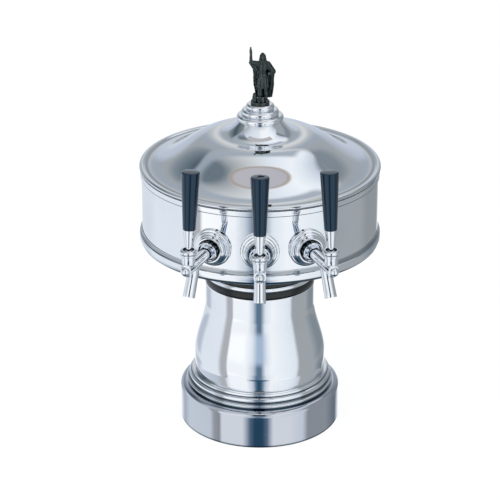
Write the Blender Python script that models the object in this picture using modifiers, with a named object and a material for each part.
"""Three-faucet mushroom tower for draught drinks, in metres, +Z up, front towards -Y.

The origin is on the column's axis at the counter. Everything turned about that axis is a
profile with a Screw modifier. The faucets are built once each from the same values, on an
empty turned to their place round the drum.
"""

import math

import bmesh
import bpy
from mathutils import Vector

# Clearances shared by every fit
GAP = 0.0003
OVERRUN = 0.002
SLIDE = 0.0007
MERGE = 0.00001

# Foot casting, its gasket and its web
FOOT_RADIUS = 0.1035
FOOT_HEIGHT = 0.050
FOOT_SHOULDER = 0.007
FOOT_EDGE = 0.001
FOOT_WALL = 0.0068
FOOT_DECK = 0.006
DECK_LEDGE = 0.007
GASKET_WIDTH = 0.0030
GASKET_DEPTH = 0.0022
GASKET_INSET = 0.0019
HUB_RADIUS = 0.020
HUB_HEIGHT = 0.030
SPOKE_COUNT = 3
SPOKE_WIDTH = 0.012
SPOKE_HEIGHT = 0.016
BOSS_RADIUS = 0.008
BOSS_HEIGHT = 0.024
BOSS_INSET = 0.0135
BOSS_BORE = 0.0034
BOSS_BORE_DEPTH = 0.018

# Moulding of stacked beads between foot and column
MOULDING_HEIGHT = 0.0187
MOULDING_SPREAD = 0.0065
MOULDING_TOP_WIDTH = 0.0054
MOULDING_LEDGE = 0.0043
REBATE_DEPTH = 0.003

# Column shell
COLUMN_TOP = 0.193
COLUMN_FOOT_RADIUS = 0.0833
BELLY_RADIUS = 0.085
BELLY_HEIGHT = 0.089
NECK_RADIUS = 0.0705
NECK_START = 0.165
COLUMN_WALL = 0.002
COLUMN_LIP = 0.0105

# Foam sleeve and line block
BLOCK_THICKNESS = 0.014
FOAM_THICKNESS = 0.015
FOAM_CLEARANCE = 0.001

# Rings at the neck
LOWER_RING_HEIGHT = 0.0095
LOWER_RING_PROUD = 0.0007
BRIGHT_RING_HEIGHT = 0.0062
BRIGHT_RING_PROUD = 0.0019
UPPER_RING_HEIGHT = 0.0040
UPPER_RING_PROUD = 0.0003
RING_WIDTH = 0.0100
RING_CHAMFER = 0.0008

# Drum
DRUM_RADIUS = 0.150
DRUM_WALL = 0.002
PAN_WALL = 0.002
PAN_HEIGHT = 0.0375
PAN_NECK_INSET = 0.0002
PAN_INSET = 0.0035
PAN_FLARE_POWER = 5.0
LOWER_MOULDING_HEIGHT = 0.018
BULLNOSE_PROUD = 0.0036
LOWER_MOULDING_LEDGE = 0.008
BULLNOSE_HEIGHT = 0.0125
WALL_HEIGHT = 0.079
BAND_PROUD = 0.0017
BAND_HEIGHT = 0.0074
BAND_LEDGE = 0.006
WALL_SEAT = 0.004
SEAL_PROUD = 0.0008
SEAL_THICKNESS = 0.001

# Lid
RIM_PROUD = 0.0024
RIM_HEIGHT = 0.0044
GROOVE_INSET = 0.0062
GROOVE_DEPTH = 0.0016
LID_WALL = 0.0018
CROWN_FLAT = 0.004
CROWN_RISE = 0.0405
CONE_FOOT_RADIUS = 0.054
CONE_TOP_RADIUS = 0.0275
CONE_HEIGHT = 0.018
CONE_SWEEP_POWER = 2.0
SKIRT_LINE_SHARE = 0.15

# Draw rod, its nuts and the bridge
ROD_RADIUS = 0.005
ROD_FIT = 0.0004
ROD_FLOOR = 0.008
ROD_NUT_RADIUS = 0.0092
ROD_NUT_HEIGHT = 0.008
BRIDGE_OVERLAP = 0.006
BRIDGE_WIDTH = 0.024
BRIDGE_THICKNESS = 0.006

# Finial pedestal
PEDESTAL_HEIGHT = 0.0212
PEDESTAL_PROUD = 0.0021
PEDESTAL_TOP_RADIUS = 0.0146
PEDESTAL_SOCKET_DEPTH = 0.0155
PEDESTAL_RINGS = 4

# Figure on the pedestal
FIGURE_HEIGHT = 0.0735
FIGURE_PLINTH_RADIUS = 0.0118
FIGURE_PLINTH_HEIGHT = 0.003
FIGURE_OFFSET = 0.0018
ROBE_WIDTH = 0.0235
ROBE_DEPTH = 0.0165
SHOULDER_WIDTH = 0.0200
HEAD_RADIUS = 0.0047
ARM_RADIUS = 0.0022
GOBLET_RADIUS = 0.0024
GOBLET_HEIGHT = 0.0075

# Where the faucets stand
FAUCET_ANGLES = {"left": -22.5, "center": 0.0, "right": 22.5}
SHANK_RISE = 0.0313
HINGE_OFFSET = 0.064
LEVER_ARM = 0.019
LEVER_LEAN = 5.0

# Shank, its flange and nuts
SHANK_RADIUS = 0.011
SHANK_BORE = 0.0035
SHANK_PROUD = 0.007
SHANK_LENGTH = 0.053
SHANK_RECESS_RADIUS = 0.0066
SHANK_RECESS_DEPTH = 0.009
SHANK_NUT_RADIUS = 0.0165
SHANK_NUT_HEIGHT = 0.007
FLANGE_RADIUS = 0.0240
FLANGE_LIP_WALL = 0.0018
FLANGE_ROOM = 0.0009
FLANGE_HEIGHT = 0.0125
FLANGE_RECESS = 0.0075
COUPLING_WALL = 0.0023
COUPLING_HEIGHT = 0.0140
COUPLING_SLOT_WIDTH = 0.0030
COUPLING_SLOT_DEPTH = 0.0016
COUPLING_SLOTS = 3

# Connector and beer line behind the shank
CONNECTOR_GRIP = 0.008
CONNECTOR_WALL = 0.0024
CONNECTOR_FLOOR = 0.006
LINE_RADIUS = 0.006
LINE_STRAIGHT = 0.0094
LINE_BEND_STEPS = 8
LINE_ROOM = 0.0025
LINE_GRIP = 0.010
PORT_SHARE = 0.6

# Chill loop at the back of the column
CHILL_RADIUS = 0.005
CHILL_ROOM = 0.0055
CHILL_ANGLES = (70.0, 110.0)
CHILL_RISE = 0.0611

# Faucet body and spout
BODY_SHOULDER_LENGTH = 0.006
BODY_TAPER_LENGTH = 0.009
BARREL_WALL = 0.0027
BARREL_OVERHANG = 0.0085
BARREL_BORE = 0.0046
BARREL_BORE_OVERHANG = 0.0102
NOSE_RADIUS = 0.0058
NOSE_OVERHANG = 0.0148
CHAMBER_RADIUS = 0.006
CHAMBER_DEPTH = 0.0147
UPSTAND_WALL = 0.0011
UPSTAND_FOOT_RADIUS = 0.0062
UPSTAND_RISE = 0.0033
BALL_FIT = 0.0006
UPSTAND_BORE_DEPTH = 0.0110
SLOT_FIT = 0.0002
SLOT_REAR = 0.0076
SLOT_FRONT = 0.0042
SPOUT_SETBACK = 0.018
SPOUT_TILT = 27.0
SPOUT_LENGTH = 0.0415
SPOUT_TOP_RADIUS = 0.0068
SPOUT_RADIUS = 0.0075
SPOUT_BORE = 0.0042

# Bonnet, lever, plunger
BONNET_PROUD = 0.0022
BONNET_SKIRT_WALL = 0.0012
BONNET_SKIRT = 0.0020
BONNET_LIP = 0.0039
BONNET_HEIGHT = 0.0064
BONNET_GRIP = 0.0008
BONNET_HOLE_TOP = 0.0069
BALL_RADIUS = 0.0065
STEM_RADIUS = 0.0032
LEVER_TIP_RADIUS = 0.0027
LEVER_NECK_RADIUS = 0.0018
PLUNGER_RADIUS = 0.0028
PLUNGER_FIT = 0.0004
PLUNGER_LAND_REAR = 0.010
PLUNGER_LAND_FRONT = 0.0085
PLUNGER_TAIL = 0.0035
SEAL_DISC_FIT = 0.0006
SEAL_DISC_THICKNESS = 0.004

# Ferrule and handle
FERRULE_START = 0.0094
FERRULE_LENGTH = 0.0216
FERRULE_RADIUS = 0.00485
FERRULE_TOP_RADIUS = 0.00725
STEM_FIT = 0.0004
HANDLE_LENGTH = 0.0775
HANDLE_RADIUS = 0.00775
HANDLE_TOP_RADIUS = 0.01125
HANDLE_EDGE = 0.0016
HANDLE_DOME = 0.0008
HANDLE_SOCKET_DEPTH = 0.010

# Steps round a turn
BASE_STEPS = 32
DRUM_STEPS = 32
PEDESTAL_STEPS = 18
FIGURE_STEPS = 9
FLANGE_STEPS = 16
FAUCET_STEPS = 10
HANDLE_STEPS = 12
HEX_STEPS = 6
PORT_STEPS = 8

# Colour, roughness and metallic value of each finish
FINISHES = {
    "chrome": ((0.80, 0.82, 0.85), 0.06, 1.0),
    "steel": ((0.60, 0.61, 0.62), 0.35, 1.0),
    "brass": ((0.72, 0.55, 0.28), 0.30, 1.0),
    "copper": ((0.78, 0.42, 0.28), 0.35, 1.0),
    "bronze": ((0.05, 0.07, 0.06), 0.45, 0.8),
    "black_plastic": ((0.01, 0.012, 0.02), 0.15, 0.0),
    "rubber": ((0.02, 0.022, 0.022), 0.60, 0.0),
    "foam": ((0.75, 0.74, 0.68), 0.90, 0.0),
    "hose": ((0.82, 0.86, 0.88), 0.40, 0.0),
    "nylon": ((0.85, 0.85, 0.82), 0.50, 0.0),
}

# Radii that follow from the sizes above
moulding_top_radius = COLUMN_FOOT_RADIUS + MOULDING_TOP_WIDTH
moulding_radius = moulding_top_radius + MOULDING_SPREAD
moulding_bore = COLUMN_FOOT_RADIUS - MOULDING_LEDGE
foot_deck_bore = moulding_bore - DECK_LEDGE
boss_circle = FOOT_RADIUS - BOSS_INSET
column_lip_bore = NECK_RADIUS - COLUMN_LIP
foam_radius = NECK_RADIUS - COLUMN_WALL - FOAM_CLEARANCE
foam_bore = foam_radius - FOAM_THICKNESS
line_circle = foam_bore - LINE_ROOM - LINE_RADIUS
chill_circle = foam_bore - CHILL_ROOM - CHILL_RADIUS
ring_bore = NECK_RADIUS - RING_WIDTH
lower_ring_radius = NECK_RADIUS + LOWER_RING_PROUD
bright_ring_radius = NECK_RADIUS + BRIGHT_RING_PROUD
upper_ring_radius = NECK_RADIUS + UPPER_RING_PROUD
pan_neck_radius = NECK_RADIUS - PAN_NECK_INSET
pan_radius = DRUM_RADIUS - PAN_INSET
bullnose_radius = DRUM_RADIUS + BULLNOSE_PROUD
lower_moulding_bore = DRUM_RADIUS - LOWER_MOULDING_LEDGE
band_radius = DRUM_RADIUS + BAND_PROUD
band_bore = DRUM_RADIUS - BAND_LEDGE
seal_radius = DRUM_RADIUS + SEAL_PROUD
rim_radius = DRUM_RADIUS + RIM_PROUD
groove_radius = DRUM_RADIUS - GROOVE_INSET
crown_radius = CONE_FOOT_RADIUS + CROWN_FLAT
bridge_reach = column_lip_bore + BRIDGE_OVERLAP
pedestal_radius = CONE_TOP_RADIUS + PEDESTAL_PROUD
coupling_radius = SHANK_RADIUS + COUPLING_WALL
flange_lip_bore = coupling_radius + FLANGE_ROOM
flange_lip_radius = flange_lip_bore + FLANGE_LIP_WALL
body_shoulder_radius = SHANK_RADIUS
barrel_radius = BARREL_BORE + BARREL_WALL
upstand_bore = BALL_RADIUS + BALL_FIT
upstand_radius = upstand_bore + UPSTAND_WALL
bonnet_radius = upstand_radius + BONNET_PROUD
bonnet_skirt_radius = upstand_radius + BONNET_SKIRT_WALL
bonnet_hole = BALL_RADIUS - BONNET_GRIP
plunger_land_radius = BARREL_BORE - PLUNGER_FIT
seal_disc_radius = CHAMBER_RADIUS - SEAL_DISC_FIT
tip_room = LEVER_TIP_RADIUS + SLIDE
slot_half_width = LEVER_TIP_RADIUS + SLOT_FIT
ferrule_bore = STEM_RADIUS + STEM_FIT

# How far the faucets' pieces stand from the tower's axis
shank_front = DRUM_RADIUS + SHANK_PROUD
shank_rear = shank_front - SHANK_LENGTH
body_rear = shank_front + GAP
hinge_reach = shank_front + HINGE_OFFSET
spout_reach = hinge_reach - SPOUT_SETBACK
barrel_front = hinge_reach + BARREL_OVERHANG
barrel_bore_end = hinge_reach + BARREL_BORE_OVERHANG
nose_front = hinge_reach + NOSE_OVERHANG
handle_base = FERRULE_START + FERRULE_LENGTH + GAP
stem_top = handle_base + HANDLE_SOCKET_DEPTH - GAP
line_start = shank_rear - GAP - CONNECTOR_FLOOR - GAP
line_bend = line_start - LINE_STRAIGHT - line_circle

# Heights that follow from the sizes above
deck_top = FOOT_HEIGHT
moulding_floor = deck_top + GAP
moulding_top = moulding_floor + MOULDING_HEIGHT
column_floor = moulding_top - REBATE_DEPTH + GAP
lower_ring_floor = COLUMN_TOP + GAP
bright_ring_floor = lower_ring_floor + LOWER_RING_HEIGHT + GAP
upper_ring_floor = bright_ring_floor + BRIGHT_RING_HEIGHT + GAP
pan_floor = upper_ring_floor + UPPER_RING_HEIGHT + GAP
pan_rim = pan_floor + PAN_HEIGHT
ring_floor = pan_rim
wall_floor = ring_floor + LOWER_MOULDING_HEIGHT - WALL_SEAT + GAP
wall_top = wall_floor + WALL_HEIGHT
shank_height = wall_floor + SHANK_RISE
chill_top = pan_floor + CHILL_RISE
band_floor = wall_top - WALL_SEAT
band_top = band_floor + BAND_HEIGHT
seal_floor = band_top + GAP
rim_floor = seal_floor + SEAL_THICKNESS + GAP
rim_top = rim_floor + RIM_HEIGHT
groove_height = rim_top - GROOVE_DEPTH
crown_height = groove_height + CROWN_RISE
cone_top = crown_height + CONE_HEIGHT
pedestal_floor = cone_top + GAP
pedestal_top = pedestal_floor + PEDESTAL_HEIGHT
figure_floor = pedestal_top + GAP
rod_top = pedestal_floor + PEDESTAL_SOCKET_DEPTH - GAP
block_floor = deck_top + GAP
block_top = block_floor + BLOCK_THICKNESS
bridge_floor = pan_floor + PAN_WALL + GAP
bridge_top = bridge_floor + BRIDGE_THICKNESS


def clear_scene():
    for obj in list(bpy.data.objects):
        bpy.data.objects.remove(obj, do_unlink=True)


def new_collection(name):
    collection = bpy.data.collections.new(name)
    bpy.context.scene.collection.children.link(collection)
    return collection


clear_scene()
PARTS = new_collection("tap_tower")
CUTTERS = new_collection("cutters")


def finish_material(name, finish):
    colour, roughness, metallic = FINISHES[finish]
    material = bpy.data.materials.new(name)
    material.use_nodes = True
    shader = material.node_tree.nodes["Principled BSDF"]
    shader.inputs["Base Color"].default_value = (*colour, 1.0)
    shader.inputs["Roughness"].default_value = roughness
    shader.inputs["Metallic"].default_value = metallic
    material.diffuse_color = (*colour, 1.0)
    return material


def add_object(name, mesh, finish=None, parent=None):
    """A part when it has a finish, and otherwise a guide that only cuts or joins."""
    obj = bpy.data.objects.new(name, mesh)
    if finish:
        PARTS.objects.link(obj)
        mesh.materials.append(finish_material(name + "_" + finish, finish))
    else:
        CUTTERS.objects.link(obj)
        obj.hide_render = True
        obj.display_type = "WIRE"
    obj.parent = parent
    return obj


def add_empty(name, location, rotation, parent=None):
    empty = bpy.data.objects.new(name, None)
    PARTS.objects.link(empty)
    empty.location = location
    empty.rotation_euler = rotation
    empty.parent = parent
    return empty


def turned(name, profile, steps, finish=None, parent=None, closed=True):
    """A profile of (radius, height) points, down its outer side, swept round Z."""
    bm = bmesh.new()
    points = [bm.verts.new((radius, 0, height)) for radius, height in profile]
    for first, second in zip(points, points[1:]):
        bm.edges.new((first, second))
    if closed:
        bm.edges.new((points[-1], points[0]))
    mesh = bpy.data.meshes.new(name)
    bm.to_mesh(mesh)
    bm.free()
    obj = add_object(name, mesh, finish, parent)
    sweep = obj.modifiers.new("Sweep", "SCREW")
    sweep.axis = "Z"
    sweep.angle = math.tau
    sweep.steps = steps
    sweep.render_steps = steps
    sweep.use_merge_vertices = True
    sweep.merge_threshold = MERGE
    sweep.use_smooth_shade = True
    return obj


def box(name, low, high, finish=None, parent=None):
    bm = bmesh.new()
    bmesh.ops.create_cube(bm, size=1.0)
    size = Vector(high) - Vector(low)
    centre = (Vector(high) + Vector(low)) / 2
    bmesh.ops.scale(bm, vec=size, verts=bm.verts)
    bmesh.ops.translate(bm, vec=centre, verts=bm.verts)
    mesh = bpy.data.meshes.new(name)
    bm.to_mesh(mesh)
    bm.free()
    return add_object(name, mesh, finish, parent)


def rod(name, radius, low, high, steps, finish=None, parent=None):
    profile = [(0, high), (radius, high), (radius, low), (0, low)]
    return turned(name, profile, steps, finish, parent, closed=False)


def collar(name, radius, bore, low, high, steps, finish=None, parent=None):
    profile = [(bore, high), (radius, high), (radius, low), (bore, low)]
    return turned(name, profile, steps, finish, parent)


def combine(target, others, operation="DIFFERENCE"):
    """Joins or cuts several guides in one step, then closes up vertices that all but meet."""
    kind = "joined" if operation == "UNION" else "cut"
    group = bpy.data.collections.new(f"{target.name}_{kind}")
    CUTTERS.children.link(group)
    for other in others:
        group.objects.link(other)
        CUTTERS.objects.unlink(other)
    modifier = target.modifiers.new(kind.title(), "BOOLEAN")
    modifier.operation = operation
    modifier.solver = "EXACT"
    modifier.operand_type = "COLLECTION"
    modifier.collection = group
    weld = target.modifiers.new("Weld", "WELD")
    weld.merge_threshold = MERGE


def outward(obj):
    """Turns an object built along +Z so that it points out of the drum, along -Y."""
    obj.rotation_euler = (math.radians(90), 0, 0)
    return obj


def offset_profile(points, wall):
    """The points moved to their right by the wall, for the inner side of a spun sheet."""
    moved = []
    for index, point in enumerate(points):
        before = Vector(points[max(index - 1, 0)])
        after = Vector(points[min(index + 1, len(points) - 1)])
        along = (after - before).normalized()
        moved.append((point[0] + along.y * wall, point[1] - along.x * wall))
    return moved


def clear_bore(radius, steps):
    """A faceted bore that clears a round piece of this radius whichever way its facets lie."""
    return (radius + GAP) / math.cos(math.pi / steps)


def ease(share):
    return (1 - math.cos(math.pi * share)) / 2


def polar(radius, degrees, height):
    angle = math.radians(degrees)
    return Vector((radius * math.cos(angle), radius * math.sin(angle), height))


def tube(name, route, radius, finish, rounds=2):
    """A tube along a route, as a mesh with its end caps welded."""
    curve = bpy.data.curves.new(name, "CURVE")
    curve.dimensions = "3D"
    curve.bevel_depth = radius
    curve.bevel_resolution = rounds
    curve.use_fill_caps = True
    spline = curve.splines.new("POLY")
    spline.points.add(len(route) - 1)
    for point, place in zip(spline.points, route):
        point.co = (*place, 1)
    source = bpy.data.objects.new(name + "_curve", curve)
    CUTTERS.objects.link(source)
    graph = bpy.context.evaluated_depsgraph_get()
    evaluated = source.evaluated_get(graph)
    mesh = bpy.data.meshes.new_from_object(evaluated)
    mesh.transform(evaluated.matrix_world)
    bm = bmesh.new()
    bm.from_mesh(mesh)
    bmesh.ops.remove_doubles(bm, verts=bm.verts, dist=MERGE)
    bm.to_mesh(mesh)
    bm.free()
    bpy.data.objects.remove(source, do_unlink=True)
    return add_object(name, mesh, finish)


# Foot

def build_foot():
    outer = FOOT_RADIUS
    inner = FOOT_RADIUS - FOOT_WALL
    shoulder = FOOT_SHOULDER
    shoulder_arc = [
        (outer - shoulder + shoulder * math.sin(turn), FOOT_HEIGHT - shoulder + shoulder * math.cos(turn))
        for turn in (0.0, math.pi / 5, math.pi / 3, math.pi / 2)
    ]
    groove_outer = outer - GASKET_INSET
    groove_inner = groove_outer - GASKET_WIDTH
    profile = [(foot_deck_bore, FOOT_HEIGHT), *shoulder_arc]
    profile += [(outer, FOOT_EDGE), (outer - FOOT_EDGE, 0)]
    profile += [(groove_outer, 0), (groove_outer, GASKET_DEPTH + GAP)]
    profile += [(groove_inner, GASKET_DEPTH + GAP), (groove_inner, 0), (inner, 0)]
    profile += [(inner, FOOT_HEIGHT - FOOT_DECK), (foot_deck_bore, FOOT_HEIGHT - FOOT_DECK)]
    foot = turned("foot_casting", profile, BASE_STEPS, "chrome")
    overlap = (groove_inner - inner) / 2
    web = [rod("hub", HUB_RADIUS, 0, HUB_HEIGHT, FLANGE_STEPS)]
    bores = [rod("hub_socket", ROD_RADIUS + ROD_FIT, ROD_FLOOR, HUB_HEIGHT + OVERRUN, FAUCET_STEPS)]
    for index in range(SPOKE_COUNT):
        angle = math.tau * index / SPOKE_COUNT + math.pi / 2
        spoke = box(
            f"spoke_{index}",
            (0, -SPOKE_WIDTH / 2, FOOT_EDGE),
            (inner + overlap, SPOKE_WIDTH / 2, SPOKE_HEIGHT),
        )
        spoke.rotation_euler.z = angle
        boss = rod(f"boss_{index}", BOSS_RADIUS, FOOT_EDGE, BOSS_HEIGHT, FAUCET_STEPS)
        boss.location = polar(boss_circle, math.degrees(angle) + 180 / SPOKE_COUNT, 0)
        bore = rod(f"boss_bore_{index}", BOSS_BORE, FOOT_EDGE - OVERRUN, BOSS_BORE_DEPTH, HEX_STEPS)
        bore.location = boss.location
        web += [spoke, boss]
        bores.append(bore)
    combine(foot, web, "UNION")
    combine(foot, bores)
    collar(
        "foot_gasket",
        groove_outer - GAP,
        groove_inner + GAP,
        GAP,
        GASKET_DEPTH,
        BASE_STEPS,
        "rubber",
    )


def build_base_moulding():
    height = MOULDING_HEIGHT
    low = moulding_floor
    top = moulding_top_radius
    spread = moulding_radius - top
    # Height and radius shares of the beads and the grooves between them, top to bottom
    bead_shares = [
        (1.00, -0.10), (0.93, 0.02), (0.81, 0.02), (0.755, 0.14), (0.69, 0.50), (0.56, 0.60),
        (0.42, 0.50), (0.335, 0.62), (0.28, 0.97), (0.16, 0.97), (0.09, 0.80), (0.0, 0.80),
    ]
    seat = column_radius(moulding_top) + GAP
    profile = [(seat, low + height)]
    profile += [(top + share * spread, low + height * rise) for rise, share in bead_shares]
    profile += [(moulding_bore, low), (moulding_bore, low + height - REBATE_DEPTH)]
    profile += [(seat, low + height - REBATE_DEPTH)]
    turned("base_moulding", profile, BASE_STEPS, "chrome")


# Column and the stack at its neck

def column_radius(height):
    """The bell: a straight neck easing out to the belly, then drawn in to its foot."""
    if height >= NECK_START:
        return NECK_RADIUS
    if height >= BELLY_HEIGHT:
        share = (NECK_START - height) / (NECK_START - BELLY_HEIGHT)
        return NECK_RADIUS + (BELLY_RADIUS - NECK_RADIUS) * ease(share)
    share = (BELLY_HEIGHT - height) / (BELLY_HEIGHT - column_floor)
    return BELLY_RADIUS - (BELLY_RADIUS - COLUMN_FOOT_RADIUS) * share ** 2


def build_column():
    bell = NECK_START - BELLY_HEIGHT
    heights = [NECK_START - bell * step / 6 for step in range(7)]
    heights += [(BELLY_HEIGHT + column_floor) / 2, column_floor]
    lip = COLUMN_TOP - COLUMN_WALL
    outer = [(column_lip_bore, COLUMN_TOP), (NECK_RADIUS, COLUMN_TOP)]
    outer += [(column_radius(height), height) for height in heights]
    inner = [(column_radius(height) - COLUMN_WALL, height) for height in heights[::-2]]
    inner += [(NECK_RADIUS - COLUMN_WALL, lip), (column_lip_bore, lip)]
    turned("column_shell", outer + inner, BASE_STEPS, "chrome")
    collar(
        "foam_sleeve",
        foam_radius,
        foam_bore,
        block_top + GAP,
        lip - GAP,
        BASE_STEPS,
        "foam",
    )


def chamfered_ring(name, radius, low, height, finish):
    top = low + height
    profile = [(ring_bore, top), (radius - RING_CHAMFER, top), (radius, top - RING_CHAMFER)]
    profile += [(radius, low + RING_CHAMFER), (radius - RING_CHAMFER, low), (ring_bore, low)]
    turned(name, profile, BASE_STEPS, finish)


def build_neck_stack():
    collar(
        "lower_neck_gasket",
        lower_ring_radius,
        ring_bore,
        lower_ring_floor,
        lower_ring_floor + LOWER_RING_HEIGHT,
        BASE_STEPS,
        "rubber",
    )
    chamfered_ring("neck_ring", bright_ring_radius, bright_ring_floor, BRIGHT_RING_HEIGHT, "chrome")
    collar(
        "upper_neck_gasket",
        upper_ring_radius,
        ring_bore,
        upper_ring_floor,
        upper_ring_floor + UPPER_RING_HEIGHT,
        BASE_STEPS,
        "rubber",
    )


def line_places():
    """Where the beer lines and the chill tubes stand in the column."""
    beer = [polar(line_circle, angle - 90, 0) for angle in FAUCET_ANGLES.values()]
    chill = [polar(chill_circle, angle, 0) for angle in CHILL_ANGLES]
    return beer, chill


def build_line_block():
    """A nylon block on the foot's deck that takes every line from above and feeds it from below."""
    block = rod("line_block", moulding_bore - FOAM_CLEARANCE, block_floor, block_top, BASE_STEPS, "nylon")
    beer, chill = line_places()
    places = [(place, LINE_RADIUS) for place in beer] + [(place, CHILL_RADIUS) for place in chill]
    low = block_floor - OVERRUN
    high = block_top + OVERRUN
    holes = [rod("block_rod_hole", ROD_RADIUS + ROD_FIT, low, high, FAUCET_STEPS)]
    for index, (place, radius) in enumerate(places):
        socket = clear_bore(radius, PORT_STEPS)
        port = radius * PORT_SHARE
        floor = block_top - LINE_GRIP
        profile = [(0, high), (socket, high), (socket, floor), (port, floor), (port, low), (0, low)]
        hole = turned(f"block_hole_{index}", profile, PORT_STEPS, closed=False)
        hole.location = place
        holes.append(hole)
    combine(block, holes)


# Drum

def build_drum_pan():
    spread = pan_radius - pan_neck_radius
    flare_shares = (1.0, 0.55, 0.34, 0.19, 0.09, 0.03)
    outer = []
    for share in flare_shares:
        rise = PAN_HEIGHT * (1 - (1 - share) ** PAN_FLARE_POWER)
        outer.append((pan_neck_radius + spread * share, pan_floor + rise))
    outer += [(pan_neck_radius, pan_floor), (column_lip_bore, pan_floor)]
    flare = offset_profile(outer[:-1], PAN_WALL)
    flare[-1] = (pan_neck_radius - PAN_WALL, pan_floor + PAN_WALL)
    flare[0] = (pan_radius, pan_rim + PAN_WALL)
    inner = flare + [(column_lip_bore, pan_floor + PAN_WALL)]
    turned("drum_pan", outer + inner[::-1], DRUM_STEPS, "chrome")


def build_drum_wall():
    low = ring_floor
    nose = bullnose_radius
    crease = low + BULLNOSE_HEIGHT
    top = low + LOWER_MOULDING_HEIGHT
    seat = DRUM_RADIUS + GAP
    thin = seat + GAP
    proud = nose - thin
    cove = top - crease
    lead = pan_rim + PAN_WALL + GAP
    profile = [(seat, top), (thin, top), (thin + proud * 0.10, top - cove * 0.45)]
    profile += [(thin + proud * 0.45, top - cove * 0.85), (thin + proud * 0.80, crease)]
    # Radius and height shares of the bullnose
    nose_shares = [(0.93, 0.84), (1.0, 0.52), (0.72, 0.22), (0.06, 0.02), (-0.85, 0.0)]
    profile += [(thin + proud * out, low + BULLNOSE_HEIGHT * rise) for out, rise in nose_shares]
    bore = pan_radius + GAP
    profile += [(bore, low), (bore, lead), (lower_moulding_bore, lead)]
    profile += [(lower_moulding_bore, wall_floor - GAP), (seat, wall_floor - GAP)]
    turned("lower_moulding", profile, DRUM_STEPS, "chrome")
    wall = collar(
        "drum_wall", DRUM_RADIUS, DRUM_RADIUS - DRUM_WALL, wall_floor, wall_top, DRUM_STEPS, "chrome"
    )
    holes = []
    for side, angle in FAUCET_ANGLES.items():
        hole = rod(
            f"wall_hole_{side}",
            SHANK_RADIUS + GAP,
            shank_front - FLANGE_HEIGHT - OVERRUN,
            shank_front,
            FAUCET_STEPS,
        )
        hole.location.z = shank_height
        hole.rotation_euler = (math.radians(90), 0, math.radians(angle))
        holes.append(hole)
    combine(wall, holes)


def build_upper_band():
    seat = DRUM_RADIUS + GAP
    ledge = wall_top + GAP
    soft = band_radius - seat
    profile = [(band_bore, band_top), (band_radius - soft / 3, band_top), (band_radius, band_top - soft / 2)]
    profile += [(band_radius, band_floor), (seat, band_floor), (seat, ledge), (band_bore, ledge)]
    turned("upper_band", profile, DRUM_STEPS, "chrome")
    collar("lid_seal", seal_radius, band_bore, seal_floor, seal_floor + SEAL_THICKNESS, DRUM_STEPS, "rubber")


def lid_height(radius):
    """Height of the lid's outer side: a concave skirt, a crown and the sweep up to the cone."""
    if radius <= CONE_FOOT_RADIUS:
        share = (CONE_FOOT_RADIUS - radius) / (CONE_FOOT_RADIUS - CONE_TOP_RADIUS)
        return crown_height + CONE_HEIGHT * share ** CONE_SWEEP_POWER
    share = min((groove_radius - radius) / (groove_radius - crown_radius), 1.0)
    blend = (1 - SKIRT_LINE_SHARE) * ease(share) + SKIRT_LINE_SHARE * share
    return groove_height + CROWN_RISE * blend


def build_lid():
    skirt = groove_radius - crown_radius
    sweep = CONE_FOOT_RADIUS - CONE_TOP_RADIUS
    radii = [CONE_TOP_RADIUS + sweep * step / 3 for step in range(4)]
    radii += [crown_radius + skirt * step / 6 for step in range(7)]
    bead = rim_radius - groove_radius
    hole = ROD_RADIUS + ROD_FIT
    surface = [(radius, lid_height(radius)) for radius in radii]
    # Radius and height shares of the rolled rim
    rim_shares = [(0.30, 0.75), (0.65, 1.0), (0.92, 0.80), (1.0, 0.45), (1.0, 0.0)]
    rim = [(groove_radius + bead * out, rim_floor + RIM_HEIGHT * rise) for out, rise in rim_shares]
    under = offset_profile(surface[::2], LID_WALL)
    inner = [(hole, cone_top - LID_WALL)] + under[1:]
    inner += [(band_bore, rim_floor)]
    profile = [(hole, cone_top), *surface, *rim, *inner[::-1]]
    turned("lid", profile, DRUM_STEPS, "chrome")


# What runs up the axis

def hex_nut(name, radius, bore, low, high, finish, parent=None):
    nut = rod(name, radius, low, high, HEX_STEPS, finish, parent)
    hole = rod(name + "_bore", bore, low - OVERRUN, high + OVERRUN, FAUCET_STEPS, None, parent)
    combine(nut, [hole])
    return nut, hole


def build_draw_rod():
    rod("draw_rod", ROD_RADIUS, ROD_FLOOR + GAP, rod_top, FAUCET_STEPS, "steel")
    bridge = box(
        "neck_bridge",
        (-bridge_reach, -BRIDGE_WIDTH / 2, bridge_floor),
        (bridge_reach, BRIDGE_WIDTH / 2, bridge_top),
        "steel",
    )
    hole = rod(
        "bridge_hole", ROD_RADIUS + ROD_FIT, bridge_floor - OVERRUN, bridge_top + OVERRUN, FAUCET_STEPS
    )
    combine(bridge, [hole])
    low = bridge_top + GAP
    hex_nut("rod_nut", ROD_NUT_RADIUS, ROD_RADIUS + ROD_FIT, low, low + ROD_NUT_HEIGHT, "steel")


def build_pedestal():
    spread = pedestal_radius - PEDESTAL_TOP_RADIUS
    step = PEDESTAL_HEIGHT / PEDESTAL_RINGS
    profile = [(0, pedestal_top)]
    for index in range(PEDESTAL_RINGS):
        radius = PEDESTAL_TOP_RADIUS + spread * (index + 0.55) / (PEDESTAL_RINGS - 0.45)
        top = pedestal_top - step * index
        profile += [(radius - step * 0.20, top), (radius, top - step * 0.25), (radius, top - step * 0.80)]
    profile += [(CONE_TOP_RADIUS, pedestal_floor), (0, pedestal_floor)]
    pedestal = turned("finial_pedestal", profile, PEDESTAL_STEPS, "chrome", closed=False)
    socket = rod(
        "pedestal_socket",
        ROD_RADIUS + ROD_FIT,
        pedestal_floor - OVERRUN,
        pedestal_floor + PEDESTAL_SOCKET_DEPTH,
        FAUCET_STEPS,
    )
    combine(pedestal, [socket])


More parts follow.
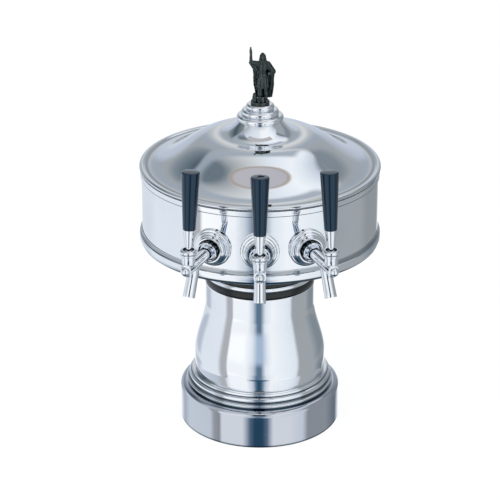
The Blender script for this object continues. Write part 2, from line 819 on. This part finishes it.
def section_stack(name, sections, steps):
    """A draped form bridged through oval sections of (height, centre x, half width, half depth)."""
    bm = bmesh.new()
    rings = []
    for height, centre, half_width, half_depth in sections:
        made = bmesh.ops.create_circle(bm, segments=steps, radius=1.0)
        bmesh.ops.scale(bm, vec=(half_width, half_depth, 1), verts=made["verts"])
        bmesh.ops.translate(bm, vec=(centre, 0, height), verts=made["verts"])
        rings.append(made["verts"])
    for lower, upper in zip(rings, rings[1:]):
        edges = []
        for ring in (lower, upper):
            edges += [edge for edge in bm.edges if edge.verts[0] in ring and edge.verts[1] in ring]
        bmesh.ops.bridge_loops(bm, edges=edges)
    bm.faces.new(rings[0][::-1])
    bm.faces.new(rings[-1])
    bmesh.ops.recalc_face_normals(bm, faces=bm.faces)
    mesh = bpy.data.meshes.new(name)
    bm.to_mesh(mesh)
    bm.free()
    return add_object(name, mesh)


def limb(name, start, end, radius, end_radius):
    """A tapered limb with both ends closed, from one place to another."""
    span = end - start
    obj = turned(
        name,
        [(0, span.length), (end_radius, span.length), (radius, 0), (0, 0)],
        FIGURE_STEPS,
        closed=False,
    )
    obj.location = start
    obj.rotation_euler = span.to_track_quat("Z", "Y").to_euler()
    return obj


def build_figure():
    """A generic draped standing figure that lifts a plain goblet."""
    low = figure_floor
    tall = FIGURE_HEIGHT
    wide = ROBE_WIDTH / 2
    deep = ROBE_DEPTH / 2
    shoulders = SHOULDER_WIDTH / 2
    hem = FIGURE_PLINTH_HEIGHT - OVERRUN / 2
    x = FIGURE_OFFSET
    # Height share of the figure, sideways share, width share and depth share of the robe
    robe_shares = [
        (0.0, 0.0, 0.80, 0.95), (0.12, 0.05, 0.88, 1.0), (0.30, 0.15, 0.92, 0.95),
        (0.48, 0.20, 0.86, 0.85), (0.60, 0.20, 0.90, 0.85), (0.67, 0.18, 0.84, 0.75), (0.73, 0.15, 0.45, 0.5),
    ]
    sections = [
        (low + hem + tall * rise, x + wide * side, wide * width, deep * depth)
        for rise, side, width, depth in robe_shares
    ]
    figure = rod(
        "figure", FIGURE_PLINTH_RADIUS, low, low + FIGURE_PLINTH_HEIGHT, PEDESTAL_STEPS, "bronze"
    )
    body = section_stack("figure_robe", sections, FIGURE_STEPS)
    joined = [body]
    neck = Vector((x + wide * 0.15, 0, low + tall * 0.70))
    crown = neck + Vector((0, -HEAD_RADIUS * 0.2, tall * 0.15))
    joined.append(limb("figure_neck", neck, crown, HEAD_RADIUS * 0.7, HEAD_RADIUS * 0.55))
    head = section_stack(
        "figure_head",
        [
            (crown.z + HEAD_RADIUS * rise, crown.x, HEAD_RADIUS * size, HEAD_RADIUS * size)
            for rise, size in ((-0.95, 0.5), (-0.4, 0.88), (0.2, 1.0), (0.75, 0.8), (1.1, 0.4))
        ],
        FIGURE_STEPS,
    )
    joined.append(head)
    shoulder = Vector((x - shoulders * 0.55, 0, low + tall * 0.70))
    elbow = Vector((x - wide * 1.10, -deep * 0.25, low + tall * 0.75))
    hand = Vector((x - wide * 1.12, -deep * 0.30, low + tall * 0.94))
    joined.append(limb("raised_upper_arm", shoulder, elbow, ARM_RADIUS * 1.3, ARM_RADIUS))
    wrist_start = elbow - Vector((0, 0, ARM_RADIUS / 2))
    joined.append(limb("raised_forearm", wrist_start, hand, ARM_RADIUS, ARM_RADIUS * 0.75))
    cup_floor = hand - Vector((0, 0, ARM_RADIUS))
    cup_top = cup_floor + Vector((0, 0, GOBLET_HEIGHT))
    joined.append(limb("goblet", cup_floor, cup_top, GOBLET_RADIUS * 0.6, GOBLET_RADIUS))
    far_shoulder = Vector((x + shoulders * 0.75, 0, low + tall * 0.70))
    far_elbow = Vector((x + wide * 1.22, -deep * 0.10, low + tall * 0.56))
    far_hand = Vector((x + wide * 0.60, -deep * 0.75, low + tall * 0.47))
    joined.append(limb("lowered_upper_arm", far_shoulder, far_elbow, ARM_RADIUS * 1.4, ARM_RADIUS * 1.1))
    joined.append(limb("lowered_forearm", far_elbow, far_hand, ARM_RADIUS * 1.15, ARM_RADIUS * 0.8))
    combine(figure, joined, "UNION")


# Faucets

def build_shank(side, mount):
    recess = shank_front - SHANK_RECESS_DEPTH
    profile = [(SHANK_RECESS_RADIUS, shank_front), (SHANK_RADIUS, shank_front)]
    profile += [(SHANK_RADIUS, shank_rear), (SHANK_BORE, shank_rear)]
    profile += [(SHANK_BORE, recess), (SHANK_RECESS_RADIUS, recess)]
    outward(turned(f"shank_{side}", profile, FAUCET_STEPS, "steel", mount))


def build_flange(side, mount):
    base = DRUM_RADIUS - OVERRUN * 2
    top = DRUM_RADIUS + FLANGE_HEIGHT
    wide = FLANGE_RADIUS - flange_lip_radius
    # Height and radius shares of the steps, from the lip down to the wall
    step_shares = [
        (0.78, 0.0), (0.70, 0.22), (0.56, 0.24), (0.48, 0.50), (0.36, 0.56), (0.26, 0.98), (0.12, 1.0),
    ]
    bore = SHANK_RADIUS + GAP
    floor = DRUM_RADIUS + FLANGE_HEIGHT - FLANGE_RECESS
    profile = [(flange_lip_bore, top), (flange_lip_radius, top)]
    profile += [
        (flange_lip_radius + wide * out, DRUM_RADIUS + FLANGE_HEIGHT * rise) for rise, out in step_shares
    ]
    profile += [(FLANGE_RADIUS, base), (bore, base), (bore, floor), (flange_lip_bore, floor)]
    flange = outward(turned(f"shank_flange_{side}", profile, FLANGE_STEPS, "chrome", mount))
    saddle = rod(
        f"saddle_{side}",
        DRUM_RADIUS + GAP,
        -FLANGE_RADIUS - OVERRUN,
        FLANGE_RADIUS + OVERRUN,
        DRUM_STEPS,
        None,
        mount,
    )
    combine(flange, [saddle])


def build_coupling(side, mount):
    low = DRUM_RADIUS + FLANGE_HEIGHT - FLANGE_RECESS + GAP
    high = low + COUPLING_HEIGHT
    thread = SHANK_RADIUS + GAP
    throat = body_shoulder_radius + GAP
    soft = COUPLING_SLOT_DEPTH / 2
    profile = [(throat, high), (coupling_radius - soft, high), (coupling_radius, high - soft)]
    profile += [(coupling_radius, low), (thread, low)]
    nut = outward(turned(f"coupling_nut_{side}", profile, FAUCET_STEPS, "chrome", mount))
    slots = []
    for index in range(COUPLING_SLOTS):
        slot = box(
            f"coupling_slot_{side}_{index}",
            (-coupling_radius - OVERRUN, -COUPLING_SLOT_WIDTH / 2, high - COUPLING_SLOT_DEPTH),
            (coupling_radius + OVERRUN, COUPLING_SLOT_WIDTH / 2, high + OVERRUN),
            None,
            mount,
        )
        slot.rotation_euler = (math.radians(90), math.pi * index / COUPLING_SLOTS, 0)
        slots.append(slot)
    combine(nut, slots)


def build_faucet_body(side, mount):
    taper_start = body_rear + BODY_SHOULDER_LENGTH
    taper_end = taper_start + BODY_TAPER_LENGTH
    nose = nose_front - barrel_front
    # Length and radius shares of the rounded nose
    nose_shares = [(0.20, 1.0), (0.60, 0.92), (0.88, 0.62)]
    profile = [(0, nose_front)]
    profile += [(NOSE_RADIUS * size, barrel_front + nose * rise) for rise, size in nose_shares[::-1]]
    profile += [(barrel_radius, barrel_front), (barrel_radius, taper_end)]
    profile += [(body_shoulder_radius, taper_start), (body_shoulder_radius, body_rear), (0, body_rear)]
    body = outward(turned(f"faucet_body_{side}", profile, FAUCET_STEPS, "chrome", mount, closed=False))
    upstand_top = LEVER_ARM + UPSTAND_RISE
    upstand = turned(
        f"upstand_{side}",
        [(0, upstand_top), (upstand_radius, upstand_top), (upstand_radius, barrel_radius * 1.2),
         (UPSTAND_FOOT_RADIUS, barrel_radius / 3), (0, barrel_radius / 3)],
        FAUCET_STEPS,
        None,
        mount,
        closed=False,
    )
    upstand.location.y = -hinge_reach
    spout = turned(
        f"spout_{side}",
        [(0, 0), (SPOUT_TOP_RADIUS, 0), (SPOUT_RADIUS, -SPOUT_LENGTH), (0, -SPOUT_LENGTH)],
        FAUCET_STEPS,
        None,
        mount,
        closed=False,
    )
    spout.location.y = -spout_reach
    spout.rotation_euler.x = -math.radians(SPOUT_TILT)
    combine(body, [upstand, spout], "UNION")
    seat = body_rear + CHAMBER_DEPTH
    chamber_mouth = body_rear - OVERRUN
    cavity = turned(
        f"cavity_{side}",
        [(0, barrel_bore_end), (BARREL_BORE, barrel_bore_end), (BARREL_BORE, seat),
         (CHAMBER_RADIUS, seat), (CHAMBER_RADIUS, chamber_mouth), (0, chamber_mouth)],
        FAUCET_STEPS,
        None,
        mount,
        closed=False,
    )
    outward(cavity)
    cup = rod(
        f"cup_{side}",
        upstand_bore,
        LEVER_ARM - UPSTAND_BORE_DEPTH,
        LEVER_ARM + UPSTAND_RISE + OVERRUN,
        FAUCET_STEPS,
        None,
        mount,
    )
    cup.location.y = -hinge_reach
    slot = box(
        f"lever_slot_{side}",
        (-slot_half_width, -SLOT_FRONT, -BARREL_BORE / 2),
        (slot_half_width, SLOT_REAR, LEVER_ARM - UPSTAND_BORE_DEPTH + SLIDE * 2),
        None,
        mount,
    )
    slot.location.y = -hinge_reach
    spout_bore = rod(
        f"spout_bore_{side}", SPOUT_BORE, -SPOUT_LENGTH - OVERRUN, 0, FAUCET_STEPS, None, mount
    )
    spout_bore.location = spout.location
    spout_bore.rotation_euler = spout.rotation_euler
    combine(body, [cavity, cup, slot, spout_bore])


def build_bonnet(side, mount):
    skirt = LEVER_ARM - BONNET_SKIRT
    lip = LEVER_ARM + BONNET_LIP
    top = LEVER_ARM + BONNET_HEIGHT
    inner = upstand_radius + GAP
    flare = bonnet_radius - bonnet_skirt_radius
    profile = [(BONNET_HOLE_TOP, top), (BONNET_HOLE_TOP + flare, top), (bonnet_radius, top - flare)]
    profile += [(bonnet_radius, LEVER_ARM + flare), (bonnet_skirt_radius, LEVER_ARM)]
    profile += [(bonnet_skirt_radius, skirt), (inner, skirt), (inner, lip), (bonnet_hole, lip)]
    bonnet = turned(f"bonnet_{side}", profile, FAUCET_STEPS, "chrome", mount)
    bonnet.location.y = -hinge_reach


def build_lever(side, pivot):
    tip = LEVER_ARM
    tip_round = LEVER_TIP_RADIUS
    neck_below = tip - tip_round * 0.9
    ball = BALL_RADIUS
    profile = [(0, stem_top), (STEM_RADIUS, stem_top)]
    profile += [(STEM_RADIUS, math.sqrt(ball ** 2 - STEM_RADIUS ** 2))]
    for degrees in (35, 5, -25, -50):
        turn = math.radians(degrees)
        profile.append((ball * math.cos(turn), ball * math.sin(turn)))
    profile += [(LEVER_NECK_RADIUS, -math.sqrt(ball ** 2 - LEVER_NECK_RADIUS ** 2))]
    profile += [(LEVER_NECK_RADIUS, -neck_below), (tip_round, -tip + tip_round / 3)]
    profile += [(tip_round, -tip - tip_round / 3), (tip_round / 2, -tip - tip_round), (0, -tip - tip_round)]
    turned(f"lever_{side}", profile, FAUCET_STEPS, "steel", pivot, closed=False)
    low = FERRULE_START
    high = low + FERRULE_LENGTH
    profile = [(ferrule_bore, high), (FERRULE_TOP_RADIUS, high), (FERRULE_RADIUS, low), (ferrule_bore, low)]
    turned(f"ferrule_{side}", profile, FAUCET_STEPS, "chrome", pivot)
    top = handle_base + HANDLE_LENGTH
    shoulder = top - HANDLE_DOME
    socket = handle_base + HANDLE_SOCKET_DEPTH
    wide = HANDLE_TOP_RADIUS
    profile = [(0, top), (wide - HANDLE_EDGE, shoulder), (wide, shoulder - HANDLE_EDGE)]
    profile += [(HANDLE_RADIUS, handle_base), (ferrule_bore, handle_base), (ferrule_bore, socket)]
    profile += [(0, socket)]
    turned(f"handle_{side}", profile, HANDLE_STEPS, "black_plastic", pivot, closed=False)


def build_plunger(side, mount):
    """The plunger's slot is centred on the lever's tip at rest, which leans with the lever."""
    slot_centre = hinge_reach + LEVER_ARM * math.sin(math.radians(LEVER_LEAN))
    seat = body_rear + CHAMBER_DEPTH
    seal_front = seat - GAP
    seal_rear = seal_front - SEAL_DISC_THICKNESS
    land_front = slot_centre + PLUNGER_LAND_FRONT / 2
    land_rear = slot_centre - PLUNGER_LAND_REAR / 2
    tail = seal_rear - PLUNGER_TAIL
    head = plunger_land_radius
    disc = seal_rear - GAP
    profile = [(0, land_front), (head, land_front), (head, land_rear), (PLUNGER_RADIUS, land_rear)]
    profile += [(PLUNGER_RADIUS, disc), (head, disc), (head, tail), (0, tail)]
    plunger = outward(turned(f"plunger_{side}", profile, FAUCET_STEPS, "steel", mount, closed=False))
    slot = box(
        f"plunger_slot_{side}",
        (-head - OVERRUN, -tip_room, -tip_room),
        (head + OVERRUN, tip_room, head + OVERRUN),
        None,
        mount,
    )
    slot.location.y = -slot_centre
    combine(plunger, [slot])
    outward(
        collar(
            f"plunger_seal_{side}",
            seal_disc_radius,
            PLUNGER_RADIUS + GAP,
            seal_rear,
            seal_front,
            FAUCET_STEPS,
            "rubber",
            mount,
        )
    )


def build_connector(side, mount):
    """A push-fit connector screwed on the shank's rear end, and the hex nut that clamps the shank."""
    seat = shank_rear - GAP
    front = shank_rear + CONNECTOR_GRIP
    rear = seat - CONNECTOR_FLOOR - LINE_GRIP
    thread = SHANK_RADIUS + GAP
    socket = clear_bore(LINE_RADIUS, FAUCET_STEPS)
    wide = thread + CONNECTOR_WALL
    narrow = socket + CONNECTOR_WALL
    profile = [(thread, front), (wide, front), (wide, seat - CONNECTOR_WALL)]
    profile += [(narrow, seat - CONNECTOR_WALL * 2), (narrow, rear)]
    profile += [(socket, rear), (socket, rear + LINE_GRIP), (SHANK_BORE, rear + LINE_GRIP)]
    profile += [(SHANK_BORE, seat), (thread, seat)]
    outward(turned(f"line_connector_{side}", profile, FAUCET_STEPS, "brass", mount))
    flat = (DRUM_RADIUS - DRUM_WALL) * math.cos(math.pi / DRUM_STEPS)
    inside = math.sqrt(flat ** 2 - SHANK_NUT_RADIUS ** 2) - GAP
    nut, bore = hex_nut(
        f"shank_nut_{side}",
        SHANK_NUT_RADIUS,
        SHANK_RADIUS + GAP,
        inside - SHANK_NUT_HEIGHT,
        inside,
        "brass",
        mount,
    )
    outward(nut)
    outward(bore)


def beer_line_route(angle):
    """Out of the connector, round one bend and down the column, as points in the tower's frame."""
    bend_start = line_circle + line_bend
    reach = [(line_start, shank_height)]
    for step in range(LINE_BEND_STEPS + 1):
        turn = math.pi / 2 * step / LINE_BEND_STEPS
        reach.append(
            (bend_start - line_bend * math.sin(turn), shank_height - line_bend * (1 - math.cos(turn)))
        )
    reach.append((line_circle, block_top - LINE_GRIP + GAP))
    return [polar(radius, angle - 90, height) for radius, height in reach]


def build_chill_loop():
    first, second = (polar(chill_circle, angle, 0) for angle in CHILL_ANGLES)
    middle = (first + second) / 2
    half = (first - second).length / 2
    floor = Vector((0, 0, block_top - LINE_GRIP + GAP))
    route = [first + floor]
    for step in range(LINE_BEND_STEPS + 1):
        turn = math.pi * step / LINE_BEND_STEPS
        side = (first - middle) * math.cos(turn)
        route.append(middle + side + Vector((0, 0, chill_top + half * math.sin(turn))))
    route.append(second + floor)
    tube("chill_loop", route, CHILL_RADIUS, "copper")


def build_faucets():
    for side, angle in FAUCET_ANGLES.items():
        mount = add_empty(f"faucet_place_{side}", (0, 0, shank_height), (0, 0, math.radians(angle)))
        pivot = add_empty(
            f"lever_pivot_{side}",
            (0, -hinge_reach, LEVER_ARM),
            (-math.radians(LEVER_LEAN), 0, 0),
            mount,
        )
        build_shank(side, mount)
        build_flange(side, mount)
        build_coupling(side, mount)
        build_faucet_body(side, mount)
        build_bonnet(side, mount)
        build_lever(side, pivot)
        build_plunger(side, mount)
        build_connector(side, mount)
        tube(f"beer_line_{side}", beer_line_route(angle), LINE_RADIUS, "hose")


build_foot()
build_base_moulding()
build_column()
build_neck_stack()
build_line_block()
build_drum_pan()
build_drum_wall()
build_upper_band()
build_lid()
build_draw_rod()
build_pedestal()
build_figure()
build_faucets()
build_chill_loop()
